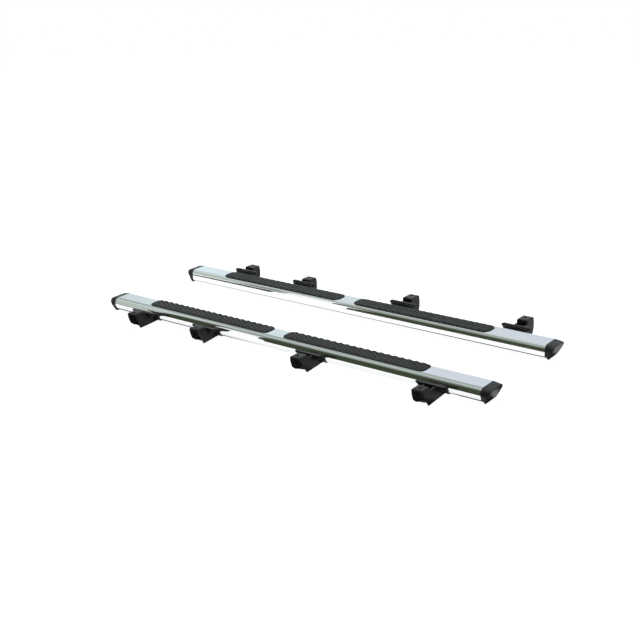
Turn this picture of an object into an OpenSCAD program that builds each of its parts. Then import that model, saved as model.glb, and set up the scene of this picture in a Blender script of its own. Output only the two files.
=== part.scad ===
// Pair of vehicle running boards: two oval step bars, each with end caps, step pads
// and four bolt-on brackets that slide along a slot under the bar.

/* [Bars] */
// Length of each bar without its end caps
bar_len = 2100; // [2060:10:2300]
// Distance between the centre lines of the two bars as they stand side by side
bar_spacing = 568; // [540:1:700]
// Height of the stepping surface above the ground
deck_h = 75; // [75:1:80]
// Height of the bar section
bar_h = 62; // [61:0.5:63]
// Wall thickness of the bar
bar_wall = 1.6; // [1.2:0.1:2]

/* [Step pads] */
// Length of one step pad
pad_len = 755; // [700:1:790]
// Width of a step pad
pad_w = 74; // [64:1:76]
// Thickness of a pad's base
pad_t = 4; // [3:0.5:5]
// Distance between neighbouring tread ribs
rib_pitch = 36; // [30:1:48]
// Start of each pad along the bar
pad_starts = [-834, 10]; // [-860:1:30]

/* [Brackets] */
// Place of each bracket along the right-hand bar
right_stations = [-796, -394, 226, 851]; // [-860:1:860]
// Place of each bracket along the left-hand bar
left_stations = [-809, -411, 204, 823]; // [-860:1:860]
// Reach of the right-hand brackets from the bar's centre line to their vehicle end
right_reaches = [191, 182, 209, 218]; // [178:1:240]
// Reach of the left-hand brackets from the bar's centre line to their vehicle end
left_reaches = [192, 184, 222, 237]; // [178:1:240]
// Width of a bracket
bracket_w = 54; // [50:1:60]
// Plate thickness of a bracket
plate = 5; // [4:0.5:5.5]
// Diameter of the hole for the vehicle's mounting bolt
mount_hole_d = 13.5; // [11:0.5:15]
// Length of the cross flange
flange_len = 150; // [140:1:156]

/* [End caps] */
// Length of an end cap beyond the bar
cap_len = 41; // [30:1:50]
// How far an end cap's top falls towards its end
cap_drop = 5; // [2:0.5:7]

/* [Hidden] */
$fn = 48;
eps = 0.01;
stations_n = len(right_stations);
bar_bottom = deck_h - bar_h;
sides = ["right", "left"];

// The bar's section is the outline round four circles, [y, z, radius], anticlockwise,
// with y towards the vehicle and z = 0 at the stepping surface.
section_circles = [
    [-42, 15 - bar_h, 15],
    [38, 17 - bar_h, 17],
    [36, -26, 26],
    [-36, -22, 22]
];
arc_steps = 14;

// Slot in the bar's underside and the rail inside it
slot_w = 20;
rail_w = 36;
rail_h = 13;
rail_wall = 2.5;
rail_gap = 9.4;

// M8 fasteners
bolt_r = 4;
hex_af = 13;
nut_h = 6.4;
nut_flange_r = 8.4;
nut_flange_t = 1.6;
t_head = [22, 24, 4.4];
t_bolt_spacing = 26;
clearance = 0.3;

// Brackets, in y from the bar's centre line and z from a datum above the ground.
// For each one: setback of the mounting hole from the vehicle end, length of the top
// plate, and the toe [y, z] of the slanted cheek. The notch between the top plate and
// the cross flange is given for the right-hand and the left-hand brackets.
datum_h = 70;
bar_under = bar_bottom - datum_h;
hole_setbacks = [[18, 18, 22, 25], [18, 19, 25, 30]];
plate_lens = [[61, 49, 52, 47], [52, 52, 64, 61]];
toes = [
    [[163, 4 - datum_h], [145, 1 - datum_h], [158, -datum_h], [170, -datum_h]],
    [[170, -datum_h], [162, -datum_h], [198, -datum_h], [215, -datum_h]]
];
top_rise = 11.5;
fold_r = 8;
heel_z = -62.5;
notches = [-4, -9];
back_z = -46;
flange_y = 108;
flange_top = 1;
flange_bottom = -27;
flange_lip = 13;
flange_bolt_x = 53;
flange_bolt_z = -12;
saddle_t = 4;
saddle_back = -26;
saddle_front = 70;
lip_len = 96;
lip_top = -22;

// Pads
clip_r = 3.7;
clip_count = 4;
clip_margin = 70;

// ---------- outline round a chain of circles ----------

function wrap(a) = a < 0 ? a + 360 : a;

// Direction of the outward normal of the outer tangent from circle a to circle b
function tangent_angle(a, b) =
    let (dy = b[0] - a[0], dz = b[1] - a[1], gap = sqrt(dy * dy + dz * dz))
    wrap(atan2(dz, dy) - acos((a[2] - b[2]) / gap));

function arc_points(c, grow, from, turn) =
    [for (i = [0:arc_steps]) let (t = from + turn * i / arc_steps)
        [c[0] + (c[2] + grow) * cos(t), c[1] + (c[2] + grow) * sin(t)]];

function outline(circles, grow = 0) =
    let (n = len(circles))
    [for (i = [0:n - 1])
        let (from = tangent_angle(circles[(i + n - 1) % n], circles[i]),
            to = tangent_angle(circles[i], circles[(i + 1) % n]))
        each arc_points(circles[i], grow, from, wrap(to - from))];

module section(grow = 0) {
    polygon(outline(section_circles, grow));
}

// Extrudes a (y, z) outline along x, centred
module along_x(length) {
    rotate([90, 0, 90]) linear_extrude(length, center = true) children();
}

// Extrudes a (y, z) outline along x from a plane
module cheek_plate(x0, thickness) {
    translate([x0, 0, 0]) rotate([90, 0, 90]) linear_extrude(thickness) children();
}

// ---------- placing ----------

// A left-hand bar has the vehicle on its +y side; the right-hand one mirrors it.
module on_bar(side) {
    translate([0, (side == "left" ? 1 : -1) * bar_spacing / 2, deck_h])
        mirror([0, side == "left" ? 0 : 1, 0])
        children();
}

// All brackets are one part, so those of the right-hand bar are turned about z.
module at_station(side, k) {
    x = side == "left" ? left_stations[k] : right_stations[k];
    translate([x, (side == "left" ? 1 : -1) * bar_spacing / 2, datum_h])
        rotate([0, 0, side == "left" ? 0 : 180])
        children();
}

function pad_clip_x(start) =
    [for (i = [0:clip_count - 1])
        start + clip_margin + i * (pad_len - 2 * clip_margin) / (clip_count - 1)];

// ---------- bar ----------

module tube() {
    color("gainsboro") difference() {
        along_x(bar_len) section();
        along_x(bar_len + 2) section(-bar_wall);
        translate([0, 0, -bar_h]) cube([bar_len + 2, slot_w, 4 * bar_wall], center = true);
        for (start = pad_starts) for (x = pad_clip_x(start))
            translate([x, 0, -4]) cylinder(r = clip_r + clearance, h = 8);
        for (end = [-1, 1]) for (y = [-1, 1]) cap_screw_axis(end, y) cylinder(r = 2.1, h = 12);
    }
}

// Steel C-rail lying on the inside of the bar's bottom wall
module slot_rail() {
    z0 = -bar_h + bar_wall;
    color("silver") difference() {
        translate([-bar_len / 2 + 45, -rail_w / 2, z0]) cube([bar_len - 90, rail_w, rail_h]);
        translate([-bar_len / 2, -rail_w / 2 + rail_wall, z0 + rail_wall])
            cube([bar_len, rail_w - 2 * rail_wall, rail_h - 2 * rail_wall]);
        translate([-bar_len / 2, -rail_gap / 2, z0 - 1]) cube([bar_len, rail_gap, rail_h / 2]);
    }
}

// ---------- end caps ----------

// Screw axes point up into the bar's bottom wall, one each side of the slot
module cap_screw_axis(end, y) {
    translate([end * (bar_len / 2 - 18), y * 26, -bar_h - 2]) children();
}

module end_cap(end) {
    plug_len = 34;
    lean = 28;
    color([0.09, 0.09, 0.1]) mirror([end < 0 ? 1 : 0, 0, 0]) translate([bar_len / 2, 0, 0])
        difference() {
            union() {
                difference() {
                    cheek_plate(0, cap_len) section();
                    cap_top_cut();
                    cap_end_cut(lean);
                }
                difference() {
                    cheek_plate(-plug_len, plug_len + 6) section(-bar_wall - clearance);
                    cheek_plate(-plug_len - 1, plug_len) section(-bar_wall - 3);
                    translate([-plug_len - 1, -slot_w / 2, -bar_h - 1]) cube([plug_len + 1, slot_w, 12]);
                }
            }
            for (y = [-1, 1]) translate([-18, y * 26, -bar_h - 2]) cylinder(r = 1.9, h = 14);
        }
}

// Wedge that slopes the cap's top down to its end
module cap_top_cut() {
    rotate([90, 0, 0]) linear_extrude(200, center = true)
        polygon([[6, 0], [cap_len + 1, -cap_drop], [cap_len + 1, 5], [6, 5]]);
}

// Wedge that leans the cap's end inwards towards the ground
module cap_end_cut(lean) {
    rotate([90, 0, 0]) linear_extrude(200, center = true)
        polygon([
            [cap_len, -cap_drop - 3], [cap_len + 5, -cap_drop - 3],
            [cap_len + 5, -bar_h - 5], [cap_len - lean, -bar_h - 5]
        ]);
}

module cap_screws() {
    color("dimgray") for (end = [-1, 1]) for (y = [-1, 1]) cap_screw_axis(end, y) {
        translate([0, 0, -0.2]) cylinder(r = 3.8, h = 2.2);
        cylinder(r = 1.9, h = 12);
    }
}

// ---------- step pads ----------

module pad_outline() {
    end_r = 30;
    translate([0, -pad_w / 2]) {
        translate([end_r, 0]) square([pad_len - 2 * end_r, pad_w]);
        translate([0, end_r]) square([pad_len, pad_w - 2 * end_r]);
        for (x = [end_r, pad_len - end_r]) for (y = [end_r, pad_w - end_r])
            translate([x, y]) circle(end_r);
    }
}

module pad(start) {
    rib_w = 22;
    rib_h = 2.6;
    rib_n = floor((pad_len - 40) / rib_pitch);
    color([0.07, 0.07, 0.075]) translate([start, 0, 0]) {
        linear_extrude(pad_t) pad_outline();
        for (i = [0:rib_n - 1])
            translate([(pad_len - (rib_n - 1) * rib_pitch) / 2 + i * rib_pitch, 0, pad_t])
                rib(rib_w, rib_h);
    }
}

// One raised tread rib, a flat-topped ridge across the pad
module rib(width, height) {
    rotate([90, 0, 0]) linear_extrude(pad_w - 12, center = true)
        polygon([
            [-width / 2, -eps], [width / 2, -eps],
            [width / 4, height], [-width / 4, height]
        ]);
}

// Push-in clips under the pads: a stem through the bar's top wall and a barbed head
module pad_clips() {
    head_r = 6;
    color("black") for (start = pad_starts) for (x = pad_clip_x(start)) translate([x, 0, 0]) {
        translate([0, 0, -4]) cylinder(r = clip_r, h = 4);
        translate([0, 0, -9]) cylinder(r1 = 2.5, r2 = head_r, h = 5);
    }
}

// ---------- bracket ----------

// Upper edge of both cheeks, from the vehicle end to the foot, in (y, z)
function cheek_top(reach, plate_len, notch_z) = [
    [reach, top_rise - 8], [reach - 3, top_rise - 2], [reach - 8, top_rise],
    [reach - plate_len, top_rise], [reach - plate_len - 4, top_rise - 4],
    [reach - plate_len - 4, notch_z], [flange_y, notch_z], [flange_y, flange_bottom - 2],
    [flange_y - 14, flange_bottom - 2], [saddle_front - 4, -48], [saddle_front - 4, heel_z]
];

// Front edge of the upright cheek, from its foot up
function upright_front(side, reach) = side == "left"
    ? [[reach - 10, -datum_h], [reach - 3, 5 - datum_h], [reach + 3, -48], [reach + 4, -20]]
    : [[reach - 42, heel_z], [reach - 34, -60], [reach - 13, -44], [reach - 3, -18]];

// Folded channel, open below, that both cheeks and the top plate are cut from
module channel_outline(inset) {
    half = bracket_w / 2 - inset;
    r = fold_r - inset;
    depth = datum_h + 1 + inset;
    translate([-half, -depth]) square([2 * half, top_rise - fold_r + depth]);
    translate([r - half, -depth]) square([2 * half - 2 * r, top_rise - inset + depth]);
    for (x = [r - half, half - r]) translate([x, top_rise - fold_r]) circle(r);
}

module channel() {
    translate([0, 300, 0]) rotate([90, 0, 0]) linear_extrude(300) difference() {
        channel_outline(0);
        channel_outline(plate);
    }
}

module bracket(side, k) {
    hand = side == "left" ? 1 : 0;
    reach = hand == 1 ? left_reaches[k] : right_reaches[k];
    edge = cheek_top(reach, plate_lens[hand][k], notches[hand]);
    toe = toes[hand][k];
    color([0.1, 0.1, 0.11]) difference() {
        union() {
            intersection() {
                channel();
                union() {
                    cheek_plate(-bracket_w / 2 - 1, bracket_w / 2 + 1) polygon(concat([toe], edge));
                    cheek_plate(0, bracket_w / 2 + 1)
                        polygon(concat(upright_front(side, reach), edge));
                }
            }
            cheek_plate(1 - bracket_w / 2 + fold_r, bracket_w - 2 * fold_r - 2) top_roll(reach);
            back_wall(reach - plate_lens[hand][k]);
            bottom_web(toe[0] - 8, reach - 44);
            cross_flange();
        }
        translate([0, reach - hole_setbacks[hand][k], top_rise - 2 * plate])
            cylinder(d = mount_hole_d, h = 3 * plate);
        for (x = [-1, 1]) translate([x * flange_bolt_x, flange_y, flange_bolt_z])
            rotate([90, 0, 0]) cylinder(r = bolt_r + clearance, h = 30, center = true);
    }
}

// Wall between the cheeks, folded down from the bar side of the top plate
module back_wall(y) {
    half = bracket_w / 2 - 1;
    translate([-half, y, back_z]) cube([2 * half, plate, top_rise - fold_r - back_z]);
}

// Web that ties the cheeks together near their feet
module bottom_web(y_slant, y_upright) {
    half = bracket_w / 2 - 1;
    translate([0, 0, heel_z + eps]) linear_extrude(plate - 1)
        polygon([[-half, 80], [half, 80], [half, y_upright], [-half, y_slant]]);
}

// Rolled edge at the vehicle end of the top plate
module top_roll(reach) {
    polygon([
        [reach - 10, top_rise - plate], [reach - 6, top_rise - plate - 2], [reach, top_rise - 8],
        [reach - 3, top_rise - 2], [reach - 8, top_rise], [reach - 10, top_rise]
    ]);
}

// Plate across the bracket that faces the bar, with a folded lip along its top
module cross_flange() {
    half = flange_len / 2;
    taper = 30;
    translate([0, flange_y, 0]) {
        rotate([90, 0, 0]) translate([0, 0, -plate]) linear_extrude(plate)
            polygon([
                [-half + taper, flange_bottom], [half - taper, flange_bottom],
                [half, flange_bottom + 20], [half, flange_top - 6], [half - 6, flange_top],
                [-half + 6, flange_top], [-half, flange_top - 6], [-half, flange_bottom + 20]
            ]);
        translate([-half + 8, 0, flange_top - plate + 1]) cube([2 * half - 16, flange_lip, plate - 1]);
    }
}

// Foot that carries the bar: a saddle under it, a tongue, and a plate bolted to the flange
module foot() {
    inner_w = bracket_w - 2 * plate - 1;
    gap = 0.2;
    z_top = bar_under - clearance;
    y_up = flange_y - gap;
    color([0.12, 0.12, 0.13]) difference() {
        union() {
            translate([-bracket_w / 2, saddle_back, z_top - saddle_t])
                cube([bracket_w, saddle_front - 5 - saddle_back, saddle_t]);
            saddle_lip();
            cheek_plate(-inner_w / 2, inner_w) polygon([
                [saddle_front - 8, z_top - saddle_t], [saddle_front, z_top - saddle_t],
                [y_up - 1, flange_bottom], [y_up - plate, flange_bottom + 6],
                [saddle_front - 4, z_top], [saddle_front - 8, z_top]
            ]);
            translate([0, y_up, 0]) rotate([90, 0, 0]) linear_extrude(plate) polygon([
                [-46, flange_bottom], [46, flange_bottom], [66, flange_bottom + 14],
                [66, flange_top - 5], [-66, flange_top - 5], [-66, flange_bottom + 14]
            ]);
        }
        for (x = [-1, 1]) {
            translate([x * t_bolt_spacing / 2, 0, z_top - 2 * saddle_t])
                cylinder(r = bolt_r + clearance, h = 3 * saddle_t);
            translate([x * flange_bolt_x, flange_y, flange_bolt_z])
                rotate([90, 0, 0]) cylinder(r = bolt_r + clearance, h = 30, center = true);
        }
    }
}

// Part of the saddle that follows the bar's lower nose up to the flange
module saddle_lip() {
    along_x(lip_len) intersection() {
        translate([0, deck_h - datum_h]) difference() {
            section(clearance + saddle_t);
            section(clearance);
        }
        translate([20, bar_under - 10]) square([saddle_front, lip_top - bar_under + 10]);
    }
}

// ---------- fasteners ----------

module hexagon(height) {
    cylinder(d = hex_af / cos(30), h = height, $fn = 6);
}

// Flanged hex nut standing on z = 0, with its threaded hole
module flange_nut() {
    difference() {
        union() {
            cylinder(r = nut_flange_r, h = nut_flange_t);
            hexagon(nut_h);
        }
        translate([0, 0, -1]) cylinder(r = bolt_r, h = nut_h + 2);
    }
}

// T-bolts whose heads run in the rail, with their shanks down through the foot
module slot_bolts() {
    head_z = bar_under + bar_wall + rail_wall + clearance;
    color("lightgray") for (x = [-1, 1]) translate([x * t_bolt_spacing / 2, 0, 0]) {
        translate([-t_head[0] / 2, -t_head[1] / 2, head_z]) cube(t_head);
        translate([0, 0, -datum_h]) cylinder(r = bolt_r, h = head_z + datum_h + 1);
    }
}

module flange_bolts() {
    head_h = 5.3;
    reach = 2 * plate + nut_h + 2.5;
    color("lightgray") for (x = [-1, 1])
        translate([x * flange_bolt_x, flange_y + plate, flange_bolt_z]) rotate([90, 0, 0]) {
            translate([0, 0, -head_h]) hexagon(head_h);
            translate([0, 0, -1.5]) cylinder(r = nut_flange_r, h = 1.5);
            translate([0, 0, -eps]) cylinder(r = bolt_r, h = reach);
        }
}

module nuts() {
    color("lightgray") for (x = [-1, 1]) {
        translate([x * t_bolt_spacing / 2, 0, bar_under - clearance - saddle_t])
            mirror([0, 0, 1]) flange_nut();
        translate([x * flange_bolt_x, flange_y - plate - 0.2, flange_bolt_z])
            rotate([90, 0, 0]) flange_nut();
    }
}

// ---------- nodes ----------

module bar_part(side, name) {
    on_bar(side) {
        if (name == "tube") tube();
        if (name == "slot_rail") slot_rail();
        if (name == "front_cap") end_cap(-1);
        if (name == "rear_cap") end_cap(1);
        if (name == "cap_screws") cap_screws();
        if (name == "front_pad") pad(pad_starts[0]);
        if (name == "rear_pad") pad(pad_starts[1]);
        if (name == "pad_clips") pad_clips();
    }
}

module bracket_part(side, name, k) {
    at_station(side, k) {
        if (name == "bracket") bracket(side, k);
        if (name == "foot") foot();
        if (name == "slot_bolts") slot_bolts();
        if (name == "flange_bolts") flange_bolts();
        if (name == "nuts") nuts();
    }
}

for (side = sides) {
    for (name = ["tube", "slot_rail", "front_cap", "rear_cap", "cap_screws",
            "front_pad", "rear_pad", "pad_clips"])
        bar_part(side, name);
    for (name = ["bracket", "foot", "slot_bolts", "flange_bolts", "nuts"])
        for (k = [0:stations_n - 1])
            bracket_part(side, name, k);
}
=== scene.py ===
"""Looks for a pair of vehicle running boards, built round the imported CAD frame."""
import math

import bmesh
import bpy
import numpy as np
from mathutils import Matrix, Vector


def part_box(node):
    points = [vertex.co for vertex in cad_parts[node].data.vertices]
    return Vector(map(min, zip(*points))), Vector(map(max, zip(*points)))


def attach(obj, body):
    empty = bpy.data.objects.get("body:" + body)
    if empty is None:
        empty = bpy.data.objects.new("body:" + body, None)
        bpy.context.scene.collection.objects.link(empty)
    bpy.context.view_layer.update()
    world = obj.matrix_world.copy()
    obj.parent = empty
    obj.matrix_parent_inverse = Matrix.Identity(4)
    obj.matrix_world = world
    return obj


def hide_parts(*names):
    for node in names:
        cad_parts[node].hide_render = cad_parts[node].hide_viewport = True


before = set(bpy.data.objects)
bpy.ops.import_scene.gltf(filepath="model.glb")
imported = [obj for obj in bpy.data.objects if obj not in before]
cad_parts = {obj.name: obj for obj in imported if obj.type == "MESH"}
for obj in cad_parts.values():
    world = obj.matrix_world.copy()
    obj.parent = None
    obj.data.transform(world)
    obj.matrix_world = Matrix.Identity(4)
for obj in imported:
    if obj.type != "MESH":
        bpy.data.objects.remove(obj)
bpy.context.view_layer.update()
scene = bpy.context.scene

MM = 0.001
SIDES = {"right": -1, "left": 1}

# ---------- sizes read from the frame ----------

tube_lo, tube_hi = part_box("right_tube")
BAR_HALF = (tube_hi.x - tube_lo.x) / 2
DECK_Z = tube_hi.z
BAR_H = tube_hi.z - tube_lo.z
CAP_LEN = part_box("right_rear_cap")[1].x - BAR_HALF


def bar_y(side):
    """Centre line of a bar: the slot rail lies on it."""
    lo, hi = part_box(f"{side}_slot_rail")
    return (lo.y + hi.y) / 2


# ---------- bar section ----------

# The section is the outline round four circles, (y, z, radius) in mm, with y towards
# the vehicle and z from the stepping surface: the two under the bar, then the two on top.
BAR_FLOOR = -BAR_H / MM
TOP_INNER = (36, -26, 26)
TOP_OUTER = (-36, -22, 22)
SECTION_CIRCLES = [(-42, 15 + BAR_FLOOR, 15), (38, 17 + BAR_FLOOR, 17), TOP_INNER, TOP_OUTER]
BAR_WALL = 1.6
SLOT_HALF = 10
FLOOR_TOLERANCE = 1  # mm above the bar's floor within which a point counts as part of it
ARC_STEPS = 28  # steps round each circle's arc
SMOOTH_COSINE = 0.8  # faces nearer than this to the section's normal are shaded with it


def tangent_angle(a, b):
    """Direction of the outward normal of the tangent from circle a to circle b."""
    dy, dz = b[0] - a[0], b[1] - a[1]
    gap = math.hypot(dy, dz)
    return (math.atan2(dz, dy) - math.acos((a[2] - b[2]) / gap)) % math.tau


def section_points(grow=0.0, steps=ARC_STEPS):
    """Points (y, z, normal angle) of the outline, anticlockwise, in mm."""
    n = len(SECTION_CIRCLES)
    points = []
    for i, circle in enumerate(SECTION_CIRCLES):
        start = tangent_angle(SECTION_CIRCLES[i - 1], circle)
        turn = (tangent_angle(circle, SECTION_CIRCLES[(i + 1) % n]) - start) % math.tau
        for k in range(steps + 1):
            t = start + turn * k / steps
            r = circle[2] + grow
            points.append((circle[0] + r * math.cos(t), circle[1] + r * math.sin(t), t))
    return points


def place(side, x, y, z):
    """A point of a bar: x in metres along it, y and z in mm in the section."""
    sign = SIDES[side]
    return Vector((x, bar_y(side) + sign * y * MM, DECK_Z + z * MM))


def new_piece(name, verts, faces, material, body, replaced):
    """A mesh piece that rides on a body, with outward faces."""
    mesh = bpy.data.meshes.new(name)
    mesh.from_pydata([tuple(v) for v in verts], [], faces)
    bm = bmesh.new()
    bm.from_mesh(mesh)
    bmesh.ops.recalc_face_normals(bm, faces=bm.faces)
    bm.to_mesh(mesh)
    bm.free()
    mesh.polygons.foreach_set("use_smooth", [True] * len(mesh.polygons))
    mesh.materials.append(material)
    obj = bpy.data.objects.new(name, mesh)
    scene.collection.objects.link(obj)
    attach(obj, body)
    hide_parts(replaced)
    return obj


# ---------- node materials ----------

NOISE_LOW, NOISE_HIGH = 0.3, 0.7  # nearly all noise values lie between these


def srgb(r, g, b):
    """Linear colour of an 8-bit display colour."""
    def one(v):
        v /= 255
        return v / 12.92 if v <= 0.04045 else ((v + 0.055) / 1.055) ** 2.4
    return (one(r), one(g), one(b), 1.0)


class Nodes:
    """Short names for building one node tree."""

    def __init__(self, tree):
        self.tree = tree

    def add(self, kind, values=None, **settings):
        node = self.tree.nodes.new(kind)
        for key, value in settings.items():
            setattr(node, key, value)
        for key, value in (values or {}).items():
            if isinstance(value, bpy.types.NodeSocket):
                self.tree.links.new(value, node.inputs[key])
            else:
                node.inputs[key].default_value = value
        return node

    def noise(self, vector, scale, detail=3.0, roughness=0.5):
        return self.add("ShaderNodeTexNoise", {
            "Vector": vector, "Scale": scale, "Detail": detail, "Roughness": roughness
        }).outputs["Fac"]

    def ramp(self, fac, stops):
        node = self.add("ShaderNodeValToRGB", {"Fac": fac})
        elements = node.color_ramp.elements
        elements.remove(elements[1])
        elements[0].position, elements[0].color = stops[0]
        for position, colour in stops[1:]:
            elements.new(position).color = colour
        return node.outputs["Color"]

    def remap(self, value, low, high):
        return self.add("ShaderNodeMapRange", {
            "Value": value, "From Min": NOISE_LOW, "From Max": NOISE_HIGH,
            "To Min": low, "To Max": high,
        }).outputs["Result"]

    def stretched(self, scale):
        """Object coordinates scaled per axis, for grain that runs one way."""
        coords = self.add("ShaderNodeTexCoord").outputs["Object"]
        return self.add("ShaderNodeMapping", {"Vector": coords, "Scale": scale}).outputs["Vector"]


def new_material(name, shader_values):
    material = bpy.data.materials.new(name)
    material.use_nodes = True
    tree = material.node_tree
    tree.nodes.clear()
    nodes = Nodes(tree)
    shader = nodes.add("ShaderNodeBsdfPrincipled", shader_values)
    output = nodes.add("ShaderNodeOutputMaterial", {"Surface": shader.outputs["BSDF"]})
    output.location = (400, 0)
    return material, nodes, shader


def surface(name, dark, light, rough, grain, bump, bump_distance, stretch=(1, 1, 1), **extra):
    """A material whose colour, roughness and height vary with noise.

    The colour goes from dark to light and the roughness between the two values of rough.
    grain is (scale of the colour noise, scale of the fine noise) per metre, bump and
    bump_distance are the strength and the height in metres of the fine noise, and stretch
    scales the grain along each axis.
    """
    material, nodes, shader = new_material(name, extra)
    vector = nodes.stretched(stretch)
    broad = nodes.noise(vector, grain[0])
    fine = nodes.noise(vector, grain[1], detail=2.0)
    colour = nodes.ramp(broad, [(NOISE_LOW, dark), (NOISE_HIGH, light)])
    rough_value = nodes.remap(fine, *rough)
    height = nodes.add("ShaderNodeBump", {
        "Strength": bump, "Distance": bump_distance, "Height": fine
    })
    links = nodes.tree.links
    links.new(colour, shader.inputs["Base Color"])
    links.new(rough_value, shader.inputs["Roughness"])
    links.new(height.outputs["Normal"], shader.inputs["Normal"])
    return material


steel = surface(
    "polished_steel", (0.83, 0.84, 0.85, 1), (0.88, 0.89, 0.90, 1), (0.045, 0.085), (6, 90),
    0.02, 0.0004, stretch=(0.06, 1, 1), Metallic=1.0,
)
zinc = surface(
    "zinc_plate", (0.42, 0.42, 0.40, 1), (0.66, 0.65, 0.60, 1), (0.22, 0.42), (60, 900),
    0.15, 0.0001, Metallic=1.0,
)
cap_plastic = surface(
    "cap_plastic", (0.006, 0.0065, 0.0068, 1), (0.011, 0.0118, 0.0122, 1), (0.36, 0.48), (25, 1400),
    0.35, 0.00012, **{"Specular IOR Level": 0.22},
)
pad_rubber = surface(
    "pad_rubber", (0.0055, 0.0062, 0.0058, 1), (0.0095, 0.0105, 0.0100, 1), (0.42, 0.58), (30, 1600),
    0.4, 0.00015, **{"Specular IOR Level": 0.1},
)
bracket_paint = surface(
    "powder_coat", (0.011, 0.0115, 0.0115, 1), (0.018, 0.0187, 0.0187, 1), (0.36, 0.5), (20, 700),
    0.35, 0.0002, **{"Specular IOR Level": 0.08},
)
black_oxide = surface(
    "black_oxide", (0.012, 0.012, 0.012, 1), (0.03, 0.03, 0.03, 1), (0.3, 0.45), (80, 900),
    0.2, 0.0001, Metallic=0.4,
)
clip_plastic = surface(
    "clip_plastic", (0.01, 0.01, 0.01, 1), (0.02, 0.02, 0.02, 1), (0.45, 0.6), (60, 900),
    0.2, 0.0001,
)


# ---------- bars ----------

def tube_piece(side):
    """The rolled bar: one long C section with a slot along its underside."""
    def profile(grow, bottom):
        kept = [(y, z, t) for y, z, t in section_points(grow)
                if not (abs(y) < SLOT_HALF and z < bottom + FLOOR_TOLERANCE)]
        start = next(
            i for i, (y, z, _) in enumerate(kept)
            if y > 0 and kept[i - 1][0] < 0 and z < BAR_FLOOR / 2
        )
        kept = kept[start:] + kept[:start]
        down = -math.pi / 2
        return [(SLOT_HALF, bottom, down)] + kept + [(-SLOT_HALF, bottom, down)]

    outer = profile(0, BAR_FLOOR)
    inner = [(y, z, t + math.pi) for y, z, t in profile(-BAR_WALL, BAR_FLOOR + BAR_WALL)][::-1]
    loop = outer + inner
    n = len(loop)
    ends = (-BAR_HALF, BAR_HALF)
    verts = [place(side, x, y, z) for x in ends for y, z, _ in loop]
    faces = [(i, (i + 1) % n, n + (i + 1) % n, n + i) for i in range(n)]
    for base in (0, n):
        faces += [
            (base + i, base + i + 1, base + n - 2 - i, base + n - 1 - i) for i in range(len(outer) - 1)
        ]
    obj = new_piece(
        f"{side}_polished_tube", verts, faces, steel, f"{side}_board", f"{side}_tube",
    )
    set_profile_normals(obj.data, side, loop)


def set_profile_normals(mesh, side, loop):
    """Exact normals from the section, so that the flats reflect as flats."""
    n = len(loop)
    normals = []
    for polygon in mesh.polygons:
        flat = polygon.normal
        for index in polygon.vertices:
            t = loop[index % n][2]
            exact = Vector((0, SIDES[side] * math.cos(t), math.sin(t)))
            normals.append(exact if exact.dot(flat) > SMOOTH_COSINE else flat.copy())
    mesh.normals_split_custom_set(normals)


# ---------- end caps ----------

# All in mm, with s from the end of the tube outwards
CAP_EDGE_R = 3.5  # rounding of the edge round the end face
CAP_SEAM = 0.7  # chamfer against the tube
CAP_COLLAR = 4.0  # straight length next to the tube
CAP_LOFT_START = 8.0
CAP_STATIONS = 8  # rings along the body, and again round the edge
CAP_DROP_START = 6.0  # s from which the cap's top and tip drop
CAP_DROP = 5.0  # drop of the top at the end
CAP_TIP_DROP = 10.0  # drop of the underside at the end
CAP_LEAN = 28.0  # how far the foot of the end face stands back from its top
CAP_LEAN_START = 8.0  # depth below the deck from which it leans
CAP_FACE_RINGS = (0.97, 0.9, 0.7, 0.4, 0.15)  # rings of the end face, as shares of its outline
CAP_ARC_STEPS = 16
CAP_SHARP_ANGLE = math.radians(50)


def cap_piece(side, end):
    """A moulded end cap, lofted from the bar's section to a leaning rounded end."""
    length = CAP_LEN / MM
    bar_h = BAR_H / MM
    edge_start = length - CAP_EDGE_R
    # each station is (s, how much the section grows there)
    stations = [(0.0, -CAP_SEAM), (CAP_SEAM, 0.0), (CAP_COLLAR, 0.0)]
    stations += [(s, 0.0) for s in np.linspace(CAP_LOFT_START, edge_start, CAP_STATIONS)]
    for k in range(1, CAP_STATIONS + 1):
        t = math.pi / 2 * k / CAP_STATIONS
        stations.append((edge_start + CAP_EDGE_R * math.sin(t), -CAP_EDGE_R * (1 - math.cos(t))))
    rings = []
    for s, grow in stations:
        ring = []
        along = max(0.0, (s - CAP_DROP_START) / (length - CAP_DROP_START))
        for y, z, _ in section_points(grow, steps=CAP_ARC_STEPS):
            depth = -z / bar_h
            z -= CAP_DROP * along * (1 - depth) + CAP_TIP_DROP * along ** 2 * depth
            leaning = max(0.0, (depth * bar_h - CAP_LEAN_START) / (bar_h - CAP_LEAN_START))
            ring.append((s * (1 - CAP_LEAN * leaning / length), y, z))
        rings.append(ring)
    last = rings[-1]
    centre = [sum(p[i] for p in last) / len(last) for i in range(3)]
    for shrink in CAP_FACE_RINGS:
        rings.append([tuple(c + (v - c) * shrink for v, c in zip(p, centre)) for p in last])
    n = len(rings[0])
    points = [p for ring in rings for p in ring]
    faces = [
        (r * n + i, r * n + (i + 1) % n, (r + 1) * n + (i + 1) % n, (r + 1) * n + i)
        for r in range(len(rings) - 1) for i in range(n)
    ]
    faces.append(tuple(range(n)))
    faces.append(tuple(range((len(rings) - 1) * n, len(rings) * n)))
    verts = [place(side, end * (BAR_HALF + x * MM), y, z) for x, y, z in points]
    which = "rear" if end > 0 else "front"
    obj = new_piece(
        f"{side}_{which}_moulded_cap", verts, faces, cap_plastic, f"{side}_board",
        f"{side}_{which}_cap",
    )
    obj.data.set_sharp_from_angle(angle=CAP_SHARP_ANGLE)


# ---------- step pads ----------

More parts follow.
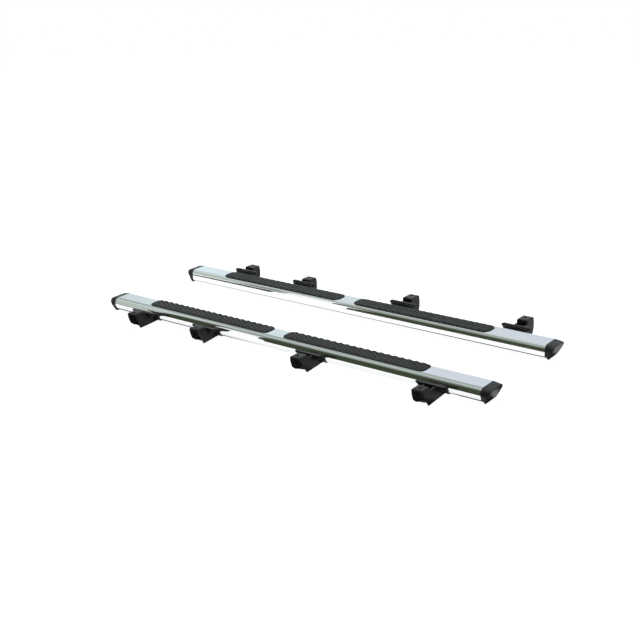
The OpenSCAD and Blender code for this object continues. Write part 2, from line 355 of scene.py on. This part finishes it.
# In mm, with x along the bar and u across it, along the section's outline
PAD_OUTER_WRAP = math.radians(38)  # how far the pad goes round the outer top circle
PAD_INNER = 38.0  # u of the pad's edge towards the vehicle
PAD_BASE = 3.4  # thickness between the ribs
PAD_SINK = 0.3  # depth of the pad's underside in the steel
PAD_EDGE = 3.0  # radius of the rounded border
PAD_CORNER_R = 30.0
RIB_HEIGHT = 3.6
RIB_START, RIB_FULL = 2.0, 9.0  # distances from the border where ribs start and are full
RIB_PITCH = 36.0
RIB_SLANT = 1.6  # mm along the bar for each mm across it
RIB_SWAY = 5.0  # how far a rib bows along the bar
RIB_SWAY_ACROSS = 40.0  # mm across the bar for each half wave of the bow
RIB_SHARPNESS = 1.15
PAD_STEP = 2.0  # distance between vertices inside the pad
# distances from the pad's ends and sides of the first vertices, closer at its rounded border
END_STEPS = [0.0, 0.25, 0.7, 1.4, 2.2, 3.2, 4.4, 6.0, 7.6]
SIDE_STEPS = [0.0, 0.3, 0.9, 1.8, 3.0, 4.5, 6.2]
END_INSIDE = 9.5  # where the even spacing starts, from an end and from a side
SIDE_INSIDE = 8.0


def deck_point(u):
    """Point and normal (y, z) of the bar's top at arc length u across it, in mm."""
    if u < TOP_OUTER[0]:
        circle = TOP_OUTER
    elif u > TOP_INNER[0]:
        circle = TOP_INNER
    else:
        return (u, 0.0), (0.0, 1.0)
    t = (u - circle[0]) / circle[2]
    normal = (math.sin(t), math.cos(t))
    return (circle[0] + circle[2] * normal[0], circle[1] + circle[2] * normal[1]), normal


def smooth(value, low, high):
    t = min(1.0, max(0.0, (value - low) / (high - low)))
    return t * t * (3 - 2 * t)


def pad_height(side, x, u, inset):
    """Height of the tread over the bar at (x, u), inset mm from the pad's border."""
    rise = min(1.0, inset / PAD_EDGE)
    base = PAD_BASE * math.sqrt(1 - (1 - rise) ** 2)
    across = SIDES[side] * u
    sway = RIB_SWAY * math.sin(math.pi * u / RIB_SWAY_ACROSS)
    wave = 0.5 + 0.5 * math.cos(math.tau * (x + RIB_SLANT * across + sway) / RIB_PITCH)
    return base + RIB_HEIGHT * wave ** RIB_SHARPNESS * smooth(inset, RIB_START, RIB_FULL)


def spaced(start, stop, steps, inside, count):
    """Places from start to stop, closer together at both ends."""
    even = np.linspace(start + inside, stop - inside, count)
    return [start + v for v in steps] + list(even) + [stop - v for v in reversed(steps)]


def pad_piece(side, which):
    """A ribbed step pad that lies on the bar, with rounded corners."""
    lo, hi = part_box(f"{side}_{which}_pad")
    x0, x1 = lo.x / MM, hi.x / MM
    u0 = TOP_OUTER[0] - TOP_OUTER[2] * PAD_OUTER_WRAP
    u1 = PAD_INNER
    columns = spaced(x0, x1, END_STEPS, END_INSIDE, int((x1 - x0) / PAD_STEP))
    rows = int((u1 - u0 - SIDE_INSIDE) / PAD_STEP)
    top, bottom = [], []
    for x in columns:
        # how far x reaches past the corners' centres, and what the corner takes off the width
        past = max(0.0, PAD_CORNER_R - min(x - x0, x1 - x))
        cut = PAD_CORNER_R - math.sqrt(PAD_CORNER_R ** 2 - past ** 2)
        for u in spaced(u0 + cut, u1 - cut, SIDE_STEPS, SIDE_INSIDE, rows):
            beside = max(0.0, PAD_CORNER_R - min(u - u0, u1 - u))
            inset = max(0.0, PAD_CORNER_R - math.hypot(past, beside))
            (y, z), (ny, nz) = deck_point(u)
            h = pad_height(side, x, u, inset)
            top.append(place(side, x * MM, y + ny * h, z + nz * h))
            bottom.append(place(side, x * MM, y - ny * PAD_SINK, z - nz * PAD_SINK))
    m = len(SIDE_STEPS) * 2 + rows
    n = len(columns)
    count = n * m
    verts = top + bottom
    faces = []
    for i in range(n - 1):
        for j in range(m - 1):
            a = i * m + j
            faces.append((a, a + 1, a + m + 1, a + m))
            faces.append((count + a, count + a + m, count + a + m + 1, count + a + 1))
    border = list(range(m)) + [i * m + m - 1 for i in range(1, n)]
    border += [(n - 1) * m + j for j in range(m - 2, -1, -1)] + [i * m for i in range(n - 2, 0, -1)]
    for a, b in zip(border, border[1:] + border[:1]):
        faces.append((a, b, count + b, count + a))
    new_piece(
        f"{side}_{which}_tread_pad", verts, faces, pad_rubber, f"{side}_board",
        f"{side}_{which}_pad",
    )


# ---------- CAD nodes that stay ----------

# material and width of the rounded edges in mm, by kind of node
CAD_FINISH = {
    "slot_rail": (zinc, 0.3), "cap_screws": (black_oxide, 0.2), "pad_clips": (clip_plastic, 0.2),
    "bracket": (bracket_paint, 0.9), "foot": (bracket_paint, 0.8), "slot_bolts": (zinc, 0.25),
    "flange_bolts": (black_oxide, 0.3), "nuts": (black_oxide, 0.3),
}
WELD_GAP = 1e-5
EDGE_ANGLE = math.radians(30)


def finish_node(obj, material, bevel):
    """Rounds the edges of a CAD node with modifiers and gives it its material."""
    mesh = obj.data
    normals = mesh.attributes.get("custom_normal")
    if normals:
        mesh.attributes.remove(normals)
    mesh.polygons.foreach_set("use_smooth", [True] * len(mesh.polygons))
    mesh.materials.clear()
    mesh.materials.append(material)
    weld = obj.modifiers.new("weld", "WELD")
    weld.merge_threshold = WELD_GAP
    edge = obj.modifiers.new("edge", "BEVEL")
    edge.width = bevel * MM
    edge.segments = 2
    edge.limit_method = "ANGLE"
    edge.angle_limit = EDGE_ANGLE
    edge.harden_normals = True


for side in SIDES:
    tube_piece(side)
    for end in (-1, 1):
        cap_piece(side, end)
    for which in ("front", "rear"):
        pad_piece(side, which)
for name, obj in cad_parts.items():
    kind = name.split("_", 1)[1].rstrip("_12345678")
    if kind in CAD_FINISH:
        finish_node(obj, *CAD_FINISH[kind])


# ---------- studio ----------

# The bars are mirrors, so what they show is the room. The cards and the world are the
# room: the cards stand at fixed places, only glossy rays see them, and they are not part
# of the object. Their places and colours were set to give the bands that the photograph
# shows, from its own viewpoint. From other viewpoints the bands are only plausible.

POLISH = 0.86  # share of light that the steel reflects; glows are divided by it
FLOOR_HALF = 40.0
FLOOR_GREY = 0.08
FLOOR_GLOW = 0.97
CARD_Z = 0.002  # height of the cards that lie on the floor

OLIVE = srgb(58, 65, 50)
DIM_OLIVE = srgb(80, 88, 78)
GREY_GREEN = srgb(156, 166, 160)
HAZE = srgb(150, 158, 150)
PALE = srgb(178, 186, 176)
WHITE = srgb(250, 252, 250)


def new_object(name, verts, faces, material):
    mesh = bpy.data.meshes.new(name)
    mesh.from_pydata(verts, [], faces)
    mesh.materials.append(material)
    obj = bpy.data.objects.new(name, mesh)
    scene.collection.objects.link(obj)
    return obj


def make_floor():
    h = FLOOR_HALF
    material, _, _ = new_material("floor_paint", {
        "Base Color": (FLOOR_GREY, FLOOR_GREY, FLOOR_GREY, 1), "Roughness": 0.9,
        "Specular IOR Level": 0.0, "Emission Color": (1, 1, 1, 1), "Emission Strength": FLOOR_GLOW,
    })
    new_object(
        "studio_floor", [(-h, -h, 0), (h, -h, 0), (h, h, 0), (-h, h, 0)], [(0, 1, 2, 3)], material,
    )


def card_material(name, axis, length, stops, one_sided=False):
    """A glow whose colour changes along an object axis, with stops in metres.

    X runs from -length to length, and Z from 0 to length.
    """
    material = bpy.data.materials.new(name)
    material.use_nodes = True
    tree = material.node_tree
    tree.nodes.clear()
    nodes = Nodes(tree)
    start = -length if axis == "X" else 0.0
    coords = nodes.add("ShaderNodeTexCoord").outputs["Object"]
    parts = nodes.add("ShaderNodeSeparateXYZ", {"Vector": coords})
    share = nodes.add("ShaderNodeMapRange", {
        "Value": parts.outputs[axis], "From Min": start, "From Max": length
    }).outputs["Result"]
    colour = nodes.ramp(share, [((at - start) / (length - start), shade) for at, shade in stops])
    glow = nodes.add("ShaderNodeEmission", {"Color": colour, "Strength": 1.0 / POLISH}).outputs[0]
    if one_sided:
        back = nodes.add("ShaderNodeNewGeometry").outputs["Backfacing"]
        clear = nodes.add("ShaderNodeBsdfTransparent").outputs[0]
        glow = nodes.add("ShaderNodeMixShader", {0: back, 1: glow, 2: clear}).outputs[0]
    nodes.add("ShaderNodeOutputMaterial", {"Surface": glow})
    return material


def plain_material(name, colour):
    return card_material(name, "Z", 1.0, [(0.0, colour), (1.0, colour)])


def make_card(name, corners, material):
    """A flat card that only glossy surfaces see."""
    card = new_object(name, corners, [(0, 1, 2, 3)], material)
    card.visible_camera = False
    card.visible_diffuse = False
    card.visible_shadow = False


def wall(x0, x1, y, z0, z1):
    """Corners of an upright card that faces +y."""
    return [(x1, y, z0), (x0, y, z0), (x0, y, z1), (x1, y, z1)]


def ground(*points):
    """Corners (x, y) of a card that lies on the floor."""
    return [(x, y, CARD_Z) for x, y in points]


def flat(x0, x1, y0, y1):
    return ground((x0, y0), (x1, y0), (x1, y1), (x0, y1))


make_floor()

# In front of the near bar: a wall that is dark low down, with a bright gap in it. Its
# cards run past the bars' ends, and the gap's edge towards +x leans over.
FRONT_Y = -0.56
FRONT_TOP = 1.6
FRONT_END = 4.0
GAP_START, GAP_END, GAP_LEAN = -0.56, -0.27, 0.09
LEFT_START = -0.95
PALE_START, PALE_TOP = -2.2, 0.5

upper_stops = [(0.42, srgb(134, 142, 132)), (0.6, HAZE), (FRONT_TOP, srgb(160, 168, 163))]
olive_glow = card_material("olive_glow", "Z", FRONT_TOP, [
    (0.0, OLIVE), (0.22, OLIVE), (0.33, srgb(96, 103, 92)),
] + upper_stops)
gap_glow = card_material("gap_glow", "Z", FRONT_TOP, [
    (0.0, WHITE), (0.14, WHITE), (0.26, srgb(150, 157, 148)),
] + upper_stops)
flat_olive = plain_material("flat_olive_glow", OLIVE)

gap_edge = [(GAP_END, FRONT_Y, 0), (GAP_END - GAP_LEAN, FRONT_Y, FRONT_TOP)]
make_card("olive_card", [
    (FRONT_END, FRONT_Y, 0), gap_edge[0], gap_edge[1], (FRONT_END, FRONT_Y, FRONT_TOP)
], olive_glow)
make_card("gap_card", [
    gap_edge[0], (GAP_START, FRONT_Y, 0), (GAP_START, FRONT_Y, FRONT_TOP), gap_edge[1]
], gap_glow)
make_card("left_olive_card", wall(LEFT_START, GAP_START, FRONT_Y, 0.0, FRONT_TOP), olive_glow)
make_card(
    "pale_card", wall(PALE_START, LEFT_START, FRONT_Y, 0.0, PALE_TOP), plain_material("pale_glow", PALE),
)
make_card("front_floor_card", ground(
    (-0.25, FRONT_Y), (FRONT_END, FRONT_Y), (FRONT_END, -0.37), (-0.12, -0.40)
), flat_olive)
make_card("left_floor_card", flat(LEFT_START, -0.48, FRONT_Y, -0.41), flat_olive)
make_card(
    "line_floor_card", flat(-1.4, LEFT_START, -0.50, -0.415), plain_material("line_glow", DIM_OLIVE),
)

# Between the bars, for the far bar: cards on the floor, and low one-sided walls, which
# the near bar looks through
BETWEEN_Y = -0.2
BETWEEN_START, BETWEEN_END, BETWEEN_TOP = -0.40, 3.0, 0.36
BRIGHT_START, BRIGHT_TOP = -0.72, 0.55
DIM_START, DIM_END, DIM_TOP = -1.03, -0.77, 0.4
LOW_EDGE = 0.07  # how far above the floor the bright and dim walls start

make_card("between_card", flat(-0.08, 3.5, BETWEEN_Y, 0.150), flat_olive)
make_card("between_left_card", ground(
    (-1.2, 0.128), (-0.60, -0.10), (-0.52, 0.10), (-0.58, 0.146)
), flat_olive)
make_card("between_line_card", ground(
    (-1.3, 0.132), (-1.0, 0.126), (-0.58, 0.144), (-1.3, 0.142)
), flat_olive)
make_card(
    "between_wall_card", wall(BETWEEN_START, BETWEEN_END, BETWEEN_Y, 0.0, BETWEEN_TOP),
    card_material("between_wall_glow", "Z", BETWEEN_TOP, [
        (0.0, OLIVE), (0.09, srgb(70, 78, 64)), (0.146, srgb(97, 105, 93)),
        (0.206, srgb(130, 138, 128)), (0.254, srgb(142, 150, 141)), (BETWEEN_TOP, HAZE),
    ], one_sided=True),
)
make_card(
    "bright_gap_card", wall(BRIGHT_START, BETWEEN_START, BETWEEN_Y, LOW_EDGE, BRIGHT_TOP),
    card_material("bright_gap_glow", "Z", 0.6, [
        (0.0, WHITE), (0.22, WHITE), (0.4, srgb(195, 202, 196)), (BRIGHT_TOP, HAZE),
    ], one_sided=True),
)
make_card(
    "dim_gap_card", wall(DIM_START, DIM_END, BETWEEN_Y, LOW_EDGE, DIM_TOP),
    card_material("dim_gap_glow", "Z", DIM_TOP, [
        (0.0, OLIVE), (0.08, srgb(75, 82, 72)), (0.2, srgb(118, 126, 117)), (DIM_TOP, HAZE),
    ], one_sided=True),
)

# A tall grey wall over the gap between the bars, for the grey stripe along the near
# bar's edge towards the vehicle
GREY_Y = 0.215
GREY_START, GREY_END = -25.0, 4.0
GREY_BOTTOM, GREY_TOP = 0.5, 25.0
make_card(
    "grey_card", wall(GREY_START, GREY_END, GREY_Y, GREY_BOTTOM, GREY_TOP),
    plain_material("grey_glow", GREY_GREEN),
)

# Under each bar, painted shadow of the bar on the floor, for the lines along the undersides: cards that
# only glossy rays see, dark where the floor under the bar would be shaded, lighter where it would not
UNDER_HALF = 1.15
UNDER_BEFORE, UNDER_AFTER = 0.06, 0.03
# colours along x of the painted shadow under each bar; the light stops stand for unshaded floor
UNDER_SHADOW_STOPS = {
    "right": [
        (-1.1, srgb(35, 38, 36)), (-0.98, srgb(60, 64, 61)), (-0.35, srgb(75, 80, 76)),
        (-0.1, srgb(225, 230, 226)), (0.82, WHITE), (0.95, srgb(40, 43, 40)),
    ],
    "left": [
        (-1.1, srgb(190, 196, 194)), (0.1, srgb(150, 156, 153)), (0.5, srgb(60, 64, 61)),
        (0.8, srgb(30, 33, 31)),
    ],
}
for side in SIDES:
    y = bar_y(side)
    make_card(
        f"{side}_under_shadow_card", flat(-UNDER_HALF, UNDER_HALF, y - UNDER_BEFORE, y + UNDER_AFTER),
        card_material(f"{side}_under_shadow_glow", "X", UNDER_HALF, UNDER_SHADOW_STOPS[side]),
    )


UNSEEN_GLOW = 0.4  # the world's light on surfaces that are neither mirror nor camera
BEHIND_LOW, BEHIND_HIGH = 0.38, 0.55  # heights between which the world behind turns plain
FRONT_SIDE, BEHIND_SIDE = -0.5, -0.12  # y between which the front turns into the back


def make_world():
    """White to the camera, a soft room to mirrors, and a dim white to all else."""
    world = bpy.data.worlds.new("studio")
    world.use_nodes = True
    tree = world.node_tree
    tree.nodes.clear()
    nodes = Nodes(tree)

    def mix(fac, a, b):
        node = nodes.add("ShaderNodeMix", data_type="RGBA")
        tree.links.new(fac, node.inputs[0])
        tree.links.new(a, node.inputs[6])
        tree.links.new(b, node.inputs[7])
        return node.outputs[2]

    def step(value, low, high):
        return nodes.add("ShaderNodeMapRange", {
            "Value": value, "From Min": low, "From Max": high
        }, interpolation_type="SMOOTHSTEP").outputs["Result"]

    direction = nodes.add("ShaderNodeTexCoord").outputs["Generated"]
    parts = nodes.add("ShaderNodeSeparateXYZ", {"Vector": direction}).outputs
    leftwards = nodes.add(
        "ShaderNodeMath", {0: parts["X"], 1: -1.0}, operation="MULTIPLY"
    ).outputs[0]
    # behind the bars (+y): low down it changes from side to side
    behind_low = nodes.ramp(leftwards, [
        (0.38, srgb(204, 210, 220)), (0.50, srgb(205, 213, 220)), (0.61, srgb(209, 221, 226)),
        (0.66, srgb(216, 231, 235)), (0.72, srgb(198, 208, 210)),
    ])
    behind_high = nodes.ramp(parts["Z"], [(0.4, srgb(206, 216, 217)), (0.9, srgb(203, 211, 212))])
    behind = mix(step(parts["Z"], BEHIND_LOW, BEHIND_HIGH), behind_low, behind_high)
    front = nodes.ramp(parts["Z"], [
        (0.0, srgb(168, 178, 168)), (0.3, srgb(182, 193, 180)), (0.6, srgb(170, 180, 170)),
        (0.8, srgb(165, 173, 166)),
    ])
    mirrored = nodes.add("ShaderNodeBackground", {
        "Color": mix(step(parts["Y"], FRONT_SIDE, BEHIND_SIDE), front, behind),
        "Strength": 1.0 / POLISH,
    })
    white = nodes.add("ShaderNodeBackground", {"Color": (1, 1, 1, 1), "Strength": 1.0})
    dim = nodes.add("ShaderNodeBackground", {"Color": (1, 1, 1, 1), "Strength": UNSEEN_GLOW})
    path = nodes.add("ShaderNodeLightPath").outputs
    unseen = nodes.add("ShaderNodeMixShader", {
        0: path["Is Glossy Ray"], 1: dim.outputs[0], 2: mirrored.outputs[0]
    })
    shown = nodes.add("ShaderNodeMixShader", {
        0: path["Is Camera Ray"], 1: unseen.outputs[0], 2: white.outputs[0]
    })
    nodes.add("ShaderNodeOutputWorld", {"Surface": shown.outputs[0]})
    scene.world = world


def add_softbox(name, location, target, size, power):
    """A soft area light that mirrors don't show."""
    data = bpy.data.lights.new(name, "AREA")
    data.shape = "RECTANGLE"
    data.size, data.size_y = size
    data.energy = power
    light = bpy.data.objects.new(name, data)
    light.location = location
    light.rotation_euler = (Vector(target) - Vector(location)).to_track_quat("-Z", "Y").to_euler()
    light.visible_glossy = False
    scene.collection.objects.link(light)


make_world()
add_softbox("top_softbox", (-0.8, 1.0, 4.0), target=(0, 0, 0), size=(5.0, 4.0), power=900)


# ---------- camera ----------

# The photograph's viewpoint: the camera looks at CAM_TARGET from the near side
CAM_AZIMUTH = math.radians(37.52)  # from -y towards +x
CAM_ELEVATION = math.radians(19.77)
CAM_ROLL = math.radians(-1.69)
CAM_DISTANCE = 5.1789
CAM_TARGET = Vector((0.01425, -0.03007, 0.070))
CAM_LENS = 61.54
CAM_SENSOR = 36.0
CAM_CLIP_END = 200.0


def make_camera():
    data = bpy.data.cameras.new("camera")
    data.lens = CAM_LENS
    data.sensor_width = CAM_SENSOR
    data.clip_end = CAM_CLIP_END
    camera = bpy.data.objects.new("camera", data)
    back = Vector((
        math.sin(CAM_AZIMUTH) * math.cos(CAM_ELEVATION),
        -math.cos(CAM_AZIMUTH) * math.cos(CAM_ELEVATION),
        math.sin(CAM_ELEVATION),
    ))
    right = Vector((math.cos(CAM_AZIMUTH), math.sin(CAM_AZIMUTH), 0))
    up = back.cross(right)
    rolled_right = right * math.cos(CAM_ROLL) + up * math.sin(CAM_ROLL)
    rolled_up = -right * math.sin(CAM_ROLL) + up * math.cos(CAM_ROLL)
    turn = Matrix((rolled_right, rolled_up, back)).transposed().to_4x4()
    camera.matrix_world = Matrix.Translation(CAM_TARGET + back * CAM_DISTANCE) @ turn
    scene.collection.objects.link(camera)
    scene.camera = camera


make_camera()
scene.view_settings.view_transform = "Standard"
